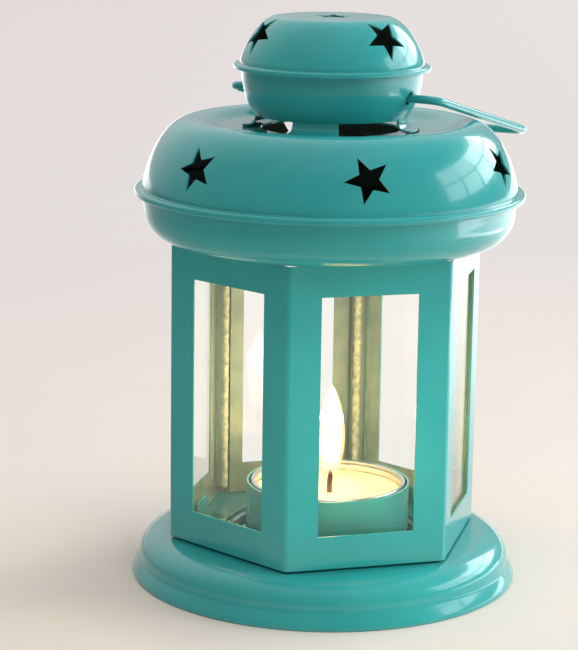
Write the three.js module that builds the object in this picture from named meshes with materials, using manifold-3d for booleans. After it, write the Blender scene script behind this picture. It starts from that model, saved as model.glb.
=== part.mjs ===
// Hexagonal tealight lantern: a pressed foot with a tealight in its well, a glazed
// six-sided housing that lifts off it, a two-part roof, a chimney cap and a wire bail.
// Millimetres, +Z up. One window faces -Y, and the bail lies out between +X and +Y.
// The origin is the middle of the whole footprint, on the surface that the foot stands on.

import * as THREE from "three";
import { mergeVertices } from "three/addons/utils/BufferGeometryUtils.js";
import Module from "manifold-3d";

const wasm = await Module();
wasm.setup();

// Sheet metal, clearances and roundness
const sheet = 0.5;
const seatGap = 0.3;
const seamGap = 0.15;
const largeSides = 48;
const smallSides = 36;
const tinySides = 24;
const curveSteps = 5;
const cutMargin = 1;
const mergeDistance = 1e-4;

// Foot, measured inwards and outwards from the body's corners
const footHeight = 11.2;
const footHem = 1.8;
const footLedge = 1;
const footShoulderRun = 7.7;
const footShoulderFoot = 5.4;
const footKink = 4.3;
const footFlare = 1.9;
const footFlareBend = 1.2;
const footFlareRise = 1.6;
const footSkirtEdge = 0.8;
const footFlareSteps = 3;
const wellClearance = 1.3;
const wellEdgeRounding = 0.6;
const wellDepth = 3.1;

// Spring tongues pressed up from the foot, inside the housing's opening
const tongueCount = 3;
const tongueTurn = 60;
const tongueWidth = 6;
const tongueHeight = 3;

// Tealight holder and its rivet
const holderHeight = 15.8;
const holderShift = 1.2;
const holderBend = 1;
const tealightClearance = 1;
const rivetRadius = 1.5;
const rivetHeadRadius = 3.2;
const rivetCrownRadius = 2.2;
const rivetTailRadius = 2.6;
const rivetHeadHeight = 0.6;
const rivetClearance = 0.2;

// Tealight
const tealightRadius = 19.4;
const tealightHeight = 15.3;
const foil = 0.3;
const cupBend = 0.8;
const cupStepRadius = 15;
const cupStepRun = 0.5;
const cupStepRise = 1;
const waxPoolHeight = 11.6;
const waxPoolRadius = 16;
const waxEdgeRise = 0.7;
const sustainerRadius = 6;
const sustainerCollarRadius = 1.7;
const sustainerCollarHeight = 3;
const wickRadius = 0.75;
const wickHeight = 16.4;
const wickLean = 0.8;
const wickMiddleLean = 0.25;
const wickClearance = 0.35;
const wickSides = 8;
const wickSteps = 12;

// Body shell and its windows
const bodyCorner = 41.6;
const bodyCornerRounding = 1.4;
const bodyCornerSteps = 4;
const bodyStandoff = 0.65;
const bodyHeight = 76.35;
const windowStile = 8.4;
const windowSill = 8.35;
const windowHead = 7.6;
const bodyTabWidth = 10;
const bodyTabHeight = 2.6;

// Bottom plate of the housing
const plateDrop = 0.35;
const plateTabWidth = 10;
const plateTabHeight = 4.5;

// Glass panes and the sealant in the corners
const glass = 2;
const paneSideLap = 4.1;
const paneTopLap = 4;
const beadBottomInset = 1.7;
const beadTopInset = 4.6;
const beadGap = 0.4;
const beadNose = 1.3;
const beadNoseHalf = 0.9;
const beadCornerGap = 1.5;
const beadCornerHalf = 0.9;

// Roof dish, below the seam
const dishDepth = 12.15;
const dishInset = 2.1;
const dishBendRun = 7.9;
const dishBendRise = 8;
const dishFlareOut = 0.5;
const dishLip = 6;
const seamFlange = 1.3;
const seamFillet = 0.5;
const seamHemGap = 0.6;

// Roof dome, above the seam
const domeHeight = 18.75;
const domeShoulderRun = 12.4;
const domeSideLean = 1.1;
const domeSideHandle = 6.8;
const domeTopHandle = 6.8;
const domeShoulderSteps = 8;
const recessDepth = 2.3;
const recessMargin = 2.3;
const recessSteps = 3;
const ventLip = 1.5;

// Star cut-outs
const starRadius = 6.1;
const starInnerRadius = 2.6;
const starPoints = 5;
const starPunchLength = 14;
const roofStarTurns = [-152.5, -95.4, -38.35, 23.1, 84.6, 146];
const roofStarRoll = 4;
const roofStarRise = 10;
const roofStarInset = 2;
const roofStarTilt = 20;
const capStarTurns = [-65.3, 58, -175.4];
const capStarRolls = [13, 0, 31];
const capStarRise = 9.4;
const capStarInset = 3.2;
const capStarTilt = 40;
const capTopStarRadius = 5.4;
const capTopStarTurn = 73;

// Chimney bowl on its four legs
const bowlRimRadius = 23;
const bowlHeight = 14.8;
const bowlRimFlange = 1.3;
const bowlRimFillet = 0.5;
const bowlFootRadius = 19.3;
const bowlBelly = 1.6;
const bowlSteps = 3;
const legCount = 4;
const legArc = 35;
const legTurn = -119;
const legFlange = 3.2;
const legFlareOut = 2.2;
const legFlareRise = 2.4;
const legFlareSteps = 2;
const airSlotHeight = 3.9;
const airSlotSteps = 8;

// Cap dome
const capHeight = 13;
const capStep = 0.4;
const capShoulderRun = 9.2;
const capSideLean = 1.6;
const capSideHandle = 5.55;
const capTopHandle = 3.4;
const capShoulderSteps = 7;
const capRimFillet = 0.4;
const capLip = 0.3;

// Wire bail
const wireRadius = 1.05;
const wireSides = 8;
const wireStep = 2.3;
const wireHoleClearance = 0.6;
const wireHoleSides = 16;
const bailPivotDrop = 6.2;
const bailTurn = -45.7;
const bailElbowOut = 6.8;
const bailReach = 58.7;
const bailElbowBend = 4;
const bailCornerBend = 7.5;
const bailHookInset = 1.7;
const bailHook = 3.2;
const bailRestSteps = 40;

// How far the lantern's axis stands from the footprint's middle, in -X and in -Y
const axisSetback = 4.65;

// Finishes
const enamelColour = 0x35a39c;
const glassColour = 0xe6f2ee;
const sealantColour = 0xe2ddc8;
const aluminiumColour = 0xc9cccd;
const waxColour = 0xf6edc0;
const wickColour = 0x5a3a24;

const finish = (color, roughness, more = {}) => new THREE.MeshStandardMaterial({ color, roughness, ...more });
const enamel = () => finish(enamelColour, 0.22);
const clearGlass = () => finish(glassColour, 0.04, { transparent: true, opacity: 0.3 });
const sealant = () => finish(sealantColour, 0.4);
const aluminium = () => finish(aluminiumColour, 0.3, { metalness: 1 });
const wax = () => finish(waxColour, 0.45);
const cotton = () => finish(wickColour, 0.9);

// Places that follow from the sizes above
const turnOf = (degrees) => THREE.MathUtils.degToRad(degrees);
const halfCorner = Math.PI / 6;
const apothem = bodyCorner * Math.cos(halfCorner);
const innerApothem = apothem - sheet;
const footPlateRadius = bodyCorner - footLedge;
const footShoulderRadius = footPlateRadius + footShoulderRun;
const footRadius = footShoulderRadius + footFlare;
const holderRadius = tealightRadius + tealightClearance + sheet;
const wellRadius = holderRadius + holderShift + wellClearance;
const wellFloor = footHeight - wellDepth;
const holderBase = wellFloor + seatGap;
const holderRim = holderBase + holderHeight;
const tealightBase = holderBase + sheet + seatGap;
const waxPool = tealightBase + waxPoolHeight;
const wickBase = tealightBase + cupStepRise + foil + seatGap;
const tongueRadius = wellRadius + wellEdgeRounding + seatGap + sheet;
const bodyBottom = footHeight + bodyStandoff;
const bodyTop = bodyBottom + bodyHeight;
const windowBottom = bodyBottom + windowSill;
const windowTop = bodyTop - windowHead;
const windowWidth = bodyCorner - 2 * windowStile;
const plateUnderside = bodyBottom - plateDrop;
const plateTop = plateUnderside + sheet;
const plateHoleRadius = tongueRadius + seatGap;
const paneOuter = innerApothem - seatGap;
const paneInner = paneOuter - glass;
const paneBottom = plateTop + seatGap;
const paneTop = windowTop + paneTopLap;
const paneWidth = windowWidth + 2 * paneSideLap;
const dishFloor = bodyTop + seatGap;
const dishFloorRadius = bodyCorner - dishInset;
const dishRadius = dishFloorRadius + dishBendRun;
const dishHoleRadius = apothem - dishLip;
const seamHeight = dishFloor + dishDepth;
const seamNeckRadius = dishRadius + dishFlareOut;
const seamRadius = seamNeckRadius + seamFlange + seamGap + sheet;
const domeFlangeTop = seamHeight + sheet + seamGap + sheet;
const domeCrest = seamHeight + domeHeight;
const domeCrestRadius = seamNeckRadius - domeShoulderRun;
const recessFloor = domeCrest - recessDepth;
const recessRadius = bowlFootRadius + legFlange + recessMargin;
const ventRadius = bowlFootRadius - ventLip;
const legUnderside = recessFloor + seatGap;
const bowlRim = legUnderside + bowlHeight;
const capFlangeTop = bowlRim + sheet + seamGap + sheet;
const capRimRadius = bowlRimRadius + bowlRimFlange + seamGap + sheet;
const capSideRadius = bowlRimRadius + capStep;
const capCrest = bowlRim + capHeight;
const capCrestRadius = capSideRadius - capShoulderRun;
const bailPivotHeight = bowlRim - bailPivotDrop;
const bailHalfWidth = bowlRimRadius + bailElbowOut;
const bailEndRadius = bowlFootRadius - bailHookInset;
const faceTurns = [-90, -30, 30, 90, 150, 210];
const cornerTurns = [-120, -60, 0, 60, 120, 180];

const at = (radius, height) => new THREE.Vector2(radius, height);

// Points of a curve, without its first one, which the line before it already holds
function follow(curve, steps = curveSteps) {
  return curve.getPoints(steps).slice(1);
}

// A quarter of an ellipse from one point to another, leaving the first one along the radius
function quarterTurn(from, to, steps = curveSteps) {
  const points = [];
  for (let i = 1; i <= steps; i++) {
    const angle = (i / steps) * (Math.PI / 2);
    points.push(at(from.x + (to.x - from.x) * Math.sin(angle), to.y + (from.y - to.y) * Math.cos(angle)));
  }
  return points;
}

// The line moved sideways by a distance, to its right if the distance is positive
function beside(line, distance) {
  return line.map((point, i) => {
    const before = i > 0 ? point.clone().sub(line[i - 1]).normalize() : null;
    const after = i < line.length - 1 ? line[i + 1].clone().sub(point).normalize() : null;
    const a = before ?? after;
    const b = after ?? before;
    const mitre = at(a.y + b.y, -a.x - b.x).divideScalar(1 + a.dot(b));
    const moved = point.clone().addScaledVector(mitre, distance);
    return point.x === 0 ? at(0, moved.y) : moved;
  });
}

// A geometry as one closed surface whose faces point out
function closed(geometry) {
  const bare = geometry.index ? geometry.toNonIndexed() : geometry.clone();
  bare.deleteAttribute("normal");
  bare.deleteAttribute("uv");
  const merged = mergeVertices(bare, mergeDistance);
  const corner = merged.index.array;
  const kept = [];
  for (let i = 0; i < corner.length; i += 3) {
    const [a, b, c] = [corner[i], corner[i + 1], corner[i + 2]];
    if (a !== b && b !== c && c !== a) kept.push(a, b, c);
  }
  merged.setIndex(kept);
  if (signedVolume(merged) < 0) merged.setIndex(kept.reverse());
  return merged;
}

function signedVolume(geometry) {
  const position = geometry.getAttribute("position");
  const index = geometry.index.array;
  const [a, b, c] = [new THREE.Vector3(), new THREE.Vector3(), new THREE.Vector3()];
  let volume = 0;
  for (let i = 0; i < index.length; i += 3) {
    a.fromBufferAttribute(position, index[i]);
    b.fromBufferAttribute(position, index[i + 1]);
    c.fromBufferAttribute(position, index[i + 2]);
    volume += a.dot(b.cross(c)) / 6;
  }
  return volume;
}

function solid(geometry) {
  const surface = closed(geometry);
  const vertProperties = new Float32Array(surface.getAttribute("position").array);
  const triVerts = new Uint32Array(surface.index.array);
  return new wasm.Manifold(new wasm.Mesh({ numProp: 3, vertProperties, triVerts }));
}

function surfaceOf(body) {
  const mesh = body.getMesh();
  const geometry = new THREE.BufferGeometry();
  geometry.setAttribute("position", new THREE.BufferAttribute(new Float32Array(mesh.vertProperties), 3));
  geometry.setIndex(new THREE.BufferAttribute(new Uint32Array(mesh.triVerts), 1));
  return geometry;
}

const cutFrom = (geometry, cutters) =>
  surfaceOf(cutters.reduce((body, cutter) => body.subtract(solid(cutter)), solid(geometry)));
const joinedTo = (geometry, additions) =>
  surfaceOf(additions.reduce((body, addition) => body.add(solid(addition)), solid(geometry)));

// A profile of radius and height turned about the Z axis
function turned(profile, sides = largeSides) {
  return closed(new THREE.LatheGeometry(profile, sides).rotateX(Math.PI / 2));
}

// Sheet metal of one thickness whose outer face follows the line, turned about the Z axis
function pressed(line, thickness = sheet, sides = largeSides) {
  return turned([...line, ...beside(line, thickness).reverse(), line[0]], sides);
}

function block(width, depth, height) {
  return new THREE.BoxGeometry(width, depth, height);
}

// A cylinder standing on its base height
function post(radius, base, top, sides = smallSides) {
  return turned([at(0, base), at(radius, base), at(radius, top), at(0, top)], sides);
}

// Moves a geometry out along +X to a radius, then turns it about Z
function placed(geometry, radius, height, degrees) {
  return geometry.translate(radius, 0, height).rotateZ(turnOf(degrees));
}

// A hexagon with rounded corners, one of its flats facing -Y
function hexagon(flatDistance, rounding) {
  const outline = new THREE.Path();
  const cornerDistance = flatDistance / Math.cos(halfCorner);
  const arcCentre = cornerDistance - rounding / Math.cos(halfCorner);
  for (const degrees of cornerTurns) {
    const angle = turnOf(degrees);
    const [x, y] = [arcCentre * Math.cos(angle), arcCentre * Math.sin(angle)];
    outline.absarc(x, y, rounding, angle - halfCorner, angle + halfCorner, false);
  }
  outline.closePath();
  return outline.getPoints(bodyCornerSteps);
}

function raised(outline, holes, bottom, top) {
  const shape = new THREE.Shape(outline);
  shape.holes = holes.map((hole) => new THREE.Path(hole));
  const depth = top - bottom;
  return new THREE.ExtrudeGeometry(shape, { depth, bevelEnabled: false }).translate(0, 0, bottom);
}

function circleOutline(radius, sides = largeSides) {
  const angles = Array.from({ length: sides }, (_, i) => (i / sides) * 2 * Math.PI);
  return angles.map((angle) => at(radius * Math.cos(angle), radius * Math.sin(angle)));
}

// A five-pointed star punch along +Z, one point towards +X
function starPunch(radius) {
  const outline = [];
  for (let i = 0; i < 2 * starPoints; i++) {
    const reach = i % 2 === 0 ? radius : (starInnerRadius * radius) / starRadius;
    const angle = (i / starPoints) * Math.PI;
    outline.push(at(reach * Math.cos(angle), reach * Math.sin(angle)));
  }
  return raised(outline, [], -starPunchLength / 2, starPunchLength / 2);
}

// A star punch facing outwards at a height, its normal raised by a tilt, a point to the left
function sideStar(radius, height, tilt, degrees, roll) {
  const punch = starPunch(starRadius).rotateZ(Math.PI + turnOf(roll));
  punch.rotateX(Math.PI / 2).rotateZ(Math.PI / 2).rotateY(-turnOf(tilt));
  return placed(punch, radius, height, degrees);
}

function footProfile() {
  const shoulderTop = at(footPlateRadius, footHeight);
  const shoulderFoot = at(footShoulderRadius, footShoulderFoot);
  const kink = at(footShoulderRadius, footKink);
  const skirtEdge = at(footRadius, footSkirtEdge);
  const flareBend = at(footShoulderRadius + footFlareBend, footSkirtEdge + footFlareRise);
  const flare = new THREE.QuadraticBezierCurve(kink, flareBend, skirtEdge);
  return [
    at(0, wellFloor),
    at(wellRadius, wellFloor),
    at(wellRadius, footHeight - wellEdgeRounding),
    at(wellRadius + wellEdgeRounding, footHeight),
    shoulderTop,
    ...quarterTurn(shoulderTop, shoulderFoot),
    kink,
    ...follow(flare, footFlareSteps),
    at(footRadius, 0),
    at(footRadius - footHem, 0),
  ];
}

function basePan() {
  const tongues = [];
  for (let i = 0; i < tongueCount; i++) {
    const rise = tongueHeight + sheet;
    const tongue = block(sheet, tongueWidth, rise);
    const degrees = tongueTurn + (i * 360) / tongueCount;
    tongues.push(placed(tongue, tongueRadius - sheet / 2, footHeight - sheet / 2 + rise / 2, degrees));
  }
  const holeBottom = wellFloor - sheet - cutMargin;
  const rivetHole = post(rivetRadius + rivetClearance, holeBottom, wellFloor + cutMargin, tinySides);
  return joinedTo(cutFrom(pressed(footProfile()), [rivetHole.translate(holderShift, 0, 0)]), tongues);
}

function tealightHolder() {
  return pressed([
    at(holderRadius, holderRim),
    at(holderRadius, holderBase + holderBend),
    at(holderRadius - holderBend, holderBase),
    at(rivetRadius + rivetClearance, holderBase),
  ]);
}

function holderRivet() {
  const headBase = holderBase + sheet + rivetClearance / 2;
  const tailTop = wellFloor - sheet - rivetClearance;
  return turned(
    [
      at(0, tailTop - rivetHeadHeight),
      at(rivetTailRadius, tailTop - rivetHeadHeight),
      at(rivetTailRadius, tailTop),
      at(rivetRadius, tailTop),
      at(rivetRadius, headBase),
      at(rivetHeadRadius, headBase),
      at(rivetCrownRadius, headBase + rivetHeadHeight),
      at(0, headBase + rivetHeadHeight),
    ],
    tinySides,
  );
}

function tealightCup() {
  const raisedFloor = tealightBase + cupStepRise;
  return pressed(
    [
      at(tealightRadius, tealightBase + tealightHeight),
      at(tealightRadius, tealightBase + cupBend),
      at(tealightRadius - cupBend, tealightBase),
      at(cupStepRadius + cupStepRun, tealightBase),
      at(cupStepRadius, raisedFloor),
      at(0, raisedFloor),
    ],
    foil,
    smallSides,
  );
}

function tealightWax() {
  const waxRadius = tealightRadius - foil - seatGap;
  const waxBase = tealightBase + foil + seatGap;
  const stepBase = waxBase + cupStepRise;
  const stepEdge = cupStepRadius + (foil + seatGap) / Math.sin(Math.atan2(cupStepRise, cupStepRun));
  const plateCeiling = wickBase + foil + seatGap;
  const collarCeiling = wickBase + sustainerCollarHeight + seatGap;
  const bore = wickRadius + wickClearance;
  return turned(
    [
      at(bore, waxPool),
      at(bore, collarCeiling),
      at(sustainerCollarRadius + seatGap, collarCeiling),
      at(sustainerCollarRadius + seatGap, plateCeiling),
      at(sustainerRadius + seatGap, plateCeiling),
      at(sustainerRadius + seatGap, stepBase),
      at(stepEdge, stepBase),
      at(stepEdge + cupStepRun, waxBase),
      at(waxRadius - cupBend, waxBase),
      at(waxRadius, waxBase + cupBend),
      at(waxRadius, waxPool + waxEdgeRise),
      at(waxPoolRadius, waxPool),
      at(bore, waxPool),
    ],
    smallSides,
  );
}

function wickSustainer() {
  const bore = wickRadius + wickClearance / 2;
  return turned(
    [
      at(bore, wickBase),
      at(sustainerRadius, wickBase),
      at(sustainerRadius, wickBase + foil),
      at(sustainerCollarRadius, wickBase + foil),
      at(sustainerCollarRadius, wickBase + sustainerCollarHeight),
      at(bore, wickBase + sustainerCollarHeight),
      at(bore, wickBase),
    ],
    tinySides,
  );
}

function tealightWick() {
  const buried = waxPool - wickBase;
  const route = new THREE.CatmullRomCurve3([
    new THREE.Vector3(0, 0, 0),
    new THREE.Vector3(0, 0, buried / 2),
    new THREE.Vector3(0, 0, buried),
    new THREE.Vector3(0, -wickMiddleLean, (buried + wickHeight) / 2),
    new THREE.Vector3(0, -wickLean, wickHeight),
  ]);
  const section = new THREE.Shape(circleOutline(wickRadius, wickSides));
  const sweep = { steps: wickSteps, extrudePath: route, bevelEnabled: false };
  return closed(new THREE.ExtrudeGeometry(section, sweep).translate(0, 0, wickBase));
}

function bodyShell() {
  const outside = hexagon(apothem, bodyCornerRounding);
  const inside = hexagon(innerApothem, bodyCornerRounding - sheet);
  const wall = raised(outside, [inside], bodyBottom, bodyTop);
  const windows = faceTurns.map((degrees) => {
    const opening = block(sheet + 2 * cutMargin, windowWidth, windowTop - windowBottom);
    return placed(opening, apothem - sheet / 2, (windowTop + windowBottom) / 2, degrees);
  });
  const tabs = faceTurns.map((degrees) => {
    const rise = bodyTabHeight + sheet;
    return placed(block(sheet, bodyTabWidth, rise), apothem - sheet / 2, bodyTop - sheet + rise / 2, degrees);
  });
  return joinedTo(cutFrom(wall, windows), tabs);
}

function bottomPlate() {
  const outline = hexagon(innerApothem - seatGap, bodyCornerRounding);
  const plate = raised(outline, [circleOutline(plateHoleRadius)], plateUnderside, plateTop);
  const tabs = faceTurns.map((degrees) => {
    const rise = plateTabHeight + sheet / 2;
    const tab = block(sheet, plateTabWidth, rise);
    return placed(tab, paneInner - seatGap - sheet / 2, plateTop - sheet / 2 + rise / 2, degrees);
  });
  return joinedTo(plate, tabs);
}

function glassPane(degrees) {
  const pane = block(glass, paneWidth, paneTop - paneBottom);
  return placed(pane, (paneOuter + paneInner) / 2, (paneTop + paneBottom) / 2, degrees);
}

// The bead's outline is set out with +X towards the corner, between the edges of two panes
function cornerBead(degrees) {
  const paneEdge = (out) => {
    const across = paneWidth / 2;
    const along = across * Math.sin(halfCorner) + out * Math.cos(halfCorner);
    const aside = out * Math.sin(halfCorner) - across * Math.cos(halfCorner);
    return at(along, aside - beadGap);
  };
  const innerEdge = paneEdge(paneInner);
  const outerEdge = paneEdge(paneOuter);
  const corner = innerApothem / Math.cos(halfCorner) - beadCornerGap;
  const half = [at(innerEdge.x - beadNose, beadNoseHalf), innerEdge, outerEdge, at(corner, beadCornerHalf)];
  const mirrored = half.map((point) => at(point.x, -point.y)).reverse();
  const bead = raised([...mirrored, ...half], [], paneBottom + beadBottomInset, paneTop - beadTopInset);
  return bead.rotateZ(turnOf(degrees));
}

function roofDish() {
  const floorEdge = at(dishFloorRadius, dishFloor);
  const bendTop = at(dishRadius, dishFloor + dishBendRise);
  const dish = pressed(
    [
      at(dishHoleRadius, dishFloor),
      floorEdge,
      ...quarterTurn(floorEdge, bendTop),
      at(seamNeckRadius, seamHeight - sheet),
      at(seamNeckRadius, seamHeight),
      at(seamNeckRadius + seamFlange, seamHeight),
    ],
    -sheet,
  );
  const slots = faceTurns.map((degrees) => {
    const slotDepth = 2 * (sheet + cutMargin);
    const slot = block(sheet + 2 * seatGap, bodyTabWidth + 2 * seatGap, slotDepth);
    return placed(slot, apothem - sheet / 2, dishFloor, degrees);
  });
  return cutFrom(dish, slots);
}

// The dome's outer face from its crest down to the seam
function domeShoulder() {
  const sideFoot = at(seamNeckRadius, domeFlangeTop + seamFillet);
  return new THREE.CubicBezierCurve(
    at(domeCrestRadius, domeCrest),
    at(domeCrestRadius + domeTopHandle, domeCrest),
    at(sideFoot.x - domeSideLean, sideFoot.y + domeSideHandle),
    sideFoot,
  );
}

function domeProfile() {
  const crest = at(domeCrestRadius, domeCrest);
  const recessEdge = at(recessRadius, recessFloor);
  const dip = (domeCrestRadius - recessRadius) / 2;
  const recess = new THREE.CubicBezierCurve(
    recessEdge,
    at(recessRadius + dip, recessFloor),
    at(domeCrestRadius - dip, domeCrest),
    crest,
  );
  return [
    at(ventRadius, recessFloor),
    recessEdge,
    ...follow(recess, recessSteps),
    ...follow(domeShoulder(), domeShoulderSteps),
    at(seamNeckRadius + seamFillet, domeFlangeTop),
    at(seamRadius, domeFlangeTop),
    at(seamRadius, seamHeight - seamGap - sheet),
    at(seamNeckRadius + seamHemGap, seamHeight - seamGap - sheet),
  ];
}

function roofDome() {
  const distance = seamNeckRadius - roofStarInset;
  const stars = roofStarTurns.map((degrees) =>
    sideStar(distance, seamHeight + roofStarRise, roofStarTilt, degrees, roofStarRoll));
  return cutFrom(pressed(domeProfile()), stars);
}

function bowlProfile() {
  const flareTop = legUnderside + sheet + legFlareRise;
  const side = new THREE.QuadraticBezierCurve(
    at(bowlRimRadius, bowlRim - bowlRimFillet),
    at((bowlRimRadius + bowlFootRadius) / 2 + bowlBelly, (bowlRim + legUnderside) / 2),
    at(bowlFootRadius, flareTop),
  );
  const flare = new THREE.QuadraticBezierCurve(
    at(bowlFootRadius, flareTop),
    at(bowlFootRadius, legUnderside + sheet),
    at(bowlFootRadius + legFlareOut, legUnderside + sheet),
  );
  return [
    at(bowlRimRadius + bowlRimFlange, bowlRim),
    at(bowlRimRadius + bowlRimFillet, bowlRim),
    ...side.getPoints(bowlSteps),
    ...follow(flare, legFlareSteps),
    at(bowlFootRadius + legFlange, legUnderside + sheet),
  ];
}

// A wedge about the Z axis
function wedge(outer, bottom, top, start, end) {
  const outline = [at(0, 0)];
  for (let i = 0; i <= airSlotSteps; i++) {
    const angle = turnOf(start + ((end - start) * i) / airSlotSteps);
    outline.push(at(outer * Math.cos(angle), outer * Math.sin(angle)));
  }
  return raised(outline, [], bottom, top);
}

function chimneyBowl() {
  const cutters = [];
  for (let i = 0; i < legCount; i++) {
    const legCentre = legTurn + (i * 360) / legCount;
    const start = legCentre + legArc / 2;
    const end = legCentre + 360 / legCount - legArc / 2;
    const slotTop = legUnderside + airSlotHeight;
    cutters.push(wedge(2 * bowlRimRadius, legUnderside - cutMargin, slotTop, start, end));
  }
  const holes = post(wireRadius + wireHoleClearance, -2 * bowlRimRadius, 2 * bowlRimRadius, wireHoleSides);
  cutters.push(holes.rotateY(Math.PI / 2).rotateZ(turnOf(bailTurn)).translate(0, 0, bailPivotHeight));
  return cutFrom(pressed(bowlProfile()), cutters);
}

function capDome() {
  const sideFoot = at(capSideRadius, capFlangeTop + capRimFillet);
  const crest = at(capCrestRadius, capCrest);
  const shoulder = new THREE.CubicBezierCurve(
    crest,
    at(capCrestRadius + capTopHandle, capCrest),
    at(capSideRadius - capSideLean, sideFoot.y + capSideHandle),
    sideFoot,
  );
  const line = [
    at(0, capCrest),
    crest,
    ...follow(shoulder, capShoulderSteps),
    at(capSideRadius + capRimFillet, capFlangeTop),
    at(capRimRadius, capFlangeTop),
    at(capRimRadius, bowlRim + seamGap - capLip),
  ];
  const topStar = starPunch(capTopStarRadius).rotateZ(turnOf(capTopStarTurn));
  const stars = [topStar.translate(0, 0, capCrest)];
  capStarTurns.forEach((degrees, i) => {
    const distance = capSideRadius - capStarInset;
    stars.push(sideStar(distance, bowlRim + capStarRise, capStarTilt, degrees, capStarRolls[i]));
  });
  return cutFrom(pressed(line), stars);
}

// A path through the points whose bends start and end at a distance from each of them
function roundedRoute(points, bends) {
  const path = new THREE.Path();
  path.moveTo(points[0].x, points[0].y);
  for (let i = 1; i < points.length - 1; i++) {
    const bend = bends[i - 1];
    const arrive = points[i - 1].clone().sub(points[i]).normalize().multiplyScalar(bend).add(points[i]);
    const leave = points[i + 1].clone().sub(points[i]).normalize().multiplyScalar(bend).add(points[i]);
    path.lineTo(arrive.x, arrive.y);
    path.quadraticCurveTo(points[i].x, points[i].y, leave.x, leave.y);
  }
  path.lineTo(points.at(-1).x, points.at(-1).y);
  return path;
}

// How far below level the bail hangs when its legs lie on the dome's shoulder, in radians
function bailDroop() {
  const rest = beside(domeShoulder().getPoints(bailRestSteps), -(wireRadius + seatGap));
  const beyond = rest.filter((point) => point.x > bailHalfWidth);
  const droops = beyond.map((point) => {
    const run = Math.sqrt(point.x ** 2 - bailHalfWidth ** 2);
    return Math.atan2(bailPivotHeight - point.y, run);
  });
  return Math.min(...droops);
}

// The bail in its own plane: +X along the pivot axis, +Y towards the grip
function bailRoute() {
  const right = [
    at(bailEndRadius, bailHook),
    at(bailEndRadius, 0),
    at(bailHalfWidth, 0),
    at(bailHalfWidth, bailReach),
  ];
  const left = right.map((point) => at(-point.x, point.y)).reverse();
  const bends = [bailHook / 2, bailElbowBend, bailCornerBend];
  return roundedRoute([...right, ...left], [...bends, ...bends.toReversed()]);
}

function bail() {
  const flat = bailRoute();
  const steps = Math.round(flat.getLength() / wireStep);
  const points = flat.getSpacedPoints(steps).map((point) => new THREE.Vector3(point.x, point.y, 0));
  const route = new THREE.CatmullRomCurve3(points);
  const section = new THREE.Shape(circleOutline(wireRadius, wireSides));
  const wire = new THREE.ExtrudeGeometry(section, { steps, extrudePath: route, bevelEnabled: false });
  wire.rotateX(-bailDroop()).rotateZ(turnOf(bailTurn)).translate(0, 0, bailPivotHeight);
  return closed(wire);
}

function named(name, geometry, material) {
  const mesh = new THREE.Mesh(geometry, material);
  mesh.name = name;
  return mesh;
}

function foot() {
  const group = new THREE.Group();
  group.add(named("base_pan", basePan(), enamel()));
  return group;
}

function candle() {
  const group = new THREE.Group();
  group.position.x = holderShift;
  group.add(named("tealight_holder", tealightHolder(), enamel()));
  group.add(named("holder_rivet", holderRivet(), aluminium()));
  group.add(named("tealight_cup", tealightCup(), aluminium()));
  group.add(named("tealight_wax", tealightWax(), wax()));
  group.add(named("tealight_wick", tealightWick(), cotton()));
  group.add(named("wick_sustainer", wickSustainer(), aluminium()));
  return group;
}

function housing() {
  const group = new THREE.Group();
  group.add(named("body_shell", bodyShell(), enamel()));
  group.add(named("bottom_plate", bottomPlate(), enamel()));
  faceTurns.forEach((degrees, i) => {
    group.add(named(`glass_pane_${i + 1}`, glassPane(degrees), clearGlass()));
  });
  cornerTurns.forEach((degrees, i) => {
    group.add(named(`corner_bead_${i + 1}`, cornerBead(degrees), sealant()));
  });
  return group;
}

function roof() {
  const group = new THREE.Group();
  group.add(named("roof_dish", roofDish(), enamel()));
  group.add(named("roof_dome", roofDome(), enamel()));
  group.add(named("chimney_bowl", chimneyBowl(), enamel()));
  group.add(named("cap_dome", capDome(), enamel()));
  group.add(named("bail", bail(), enamel()));
  return group;
}

const lantern = new THREE.Group();
lantern.add(foot(), candle(), housing(), roof());
lantern.position.set(-axisSetback, -axisSetback, 0);

export default lantern;
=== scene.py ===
import math
import random

import bmesh
import bpy
from bmesh.types import BMFace, BMVert
from mathutils import Matrix, Vector, noise


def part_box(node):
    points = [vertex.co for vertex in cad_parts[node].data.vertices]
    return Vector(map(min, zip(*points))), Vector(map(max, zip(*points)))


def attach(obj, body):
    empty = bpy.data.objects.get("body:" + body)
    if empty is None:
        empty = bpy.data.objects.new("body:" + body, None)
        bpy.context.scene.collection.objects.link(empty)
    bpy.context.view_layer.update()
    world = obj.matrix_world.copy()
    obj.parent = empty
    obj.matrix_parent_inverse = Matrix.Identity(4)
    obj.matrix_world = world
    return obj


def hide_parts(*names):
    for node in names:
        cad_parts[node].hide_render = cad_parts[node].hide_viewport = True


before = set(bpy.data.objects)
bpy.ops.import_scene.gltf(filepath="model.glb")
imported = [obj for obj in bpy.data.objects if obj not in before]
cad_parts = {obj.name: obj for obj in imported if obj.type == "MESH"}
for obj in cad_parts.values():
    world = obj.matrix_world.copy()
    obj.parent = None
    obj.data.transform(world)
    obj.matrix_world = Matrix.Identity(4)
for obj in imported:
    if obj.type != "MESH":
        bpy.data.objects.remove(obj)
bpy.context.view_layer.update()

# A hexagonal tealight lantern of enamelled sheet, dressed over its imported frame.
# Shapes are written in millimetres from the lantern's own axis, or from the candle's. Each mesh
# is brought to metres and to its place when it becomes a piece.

MM = 0.001
FACES = (-90, -30, 30, 90, 150, 210)
CORNERS = (-120, -60, 0, 60, 120, 180)
HALF_SIDE = math.radians(30)  # half of what one side of the hexagon takes of the full turn


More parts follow.
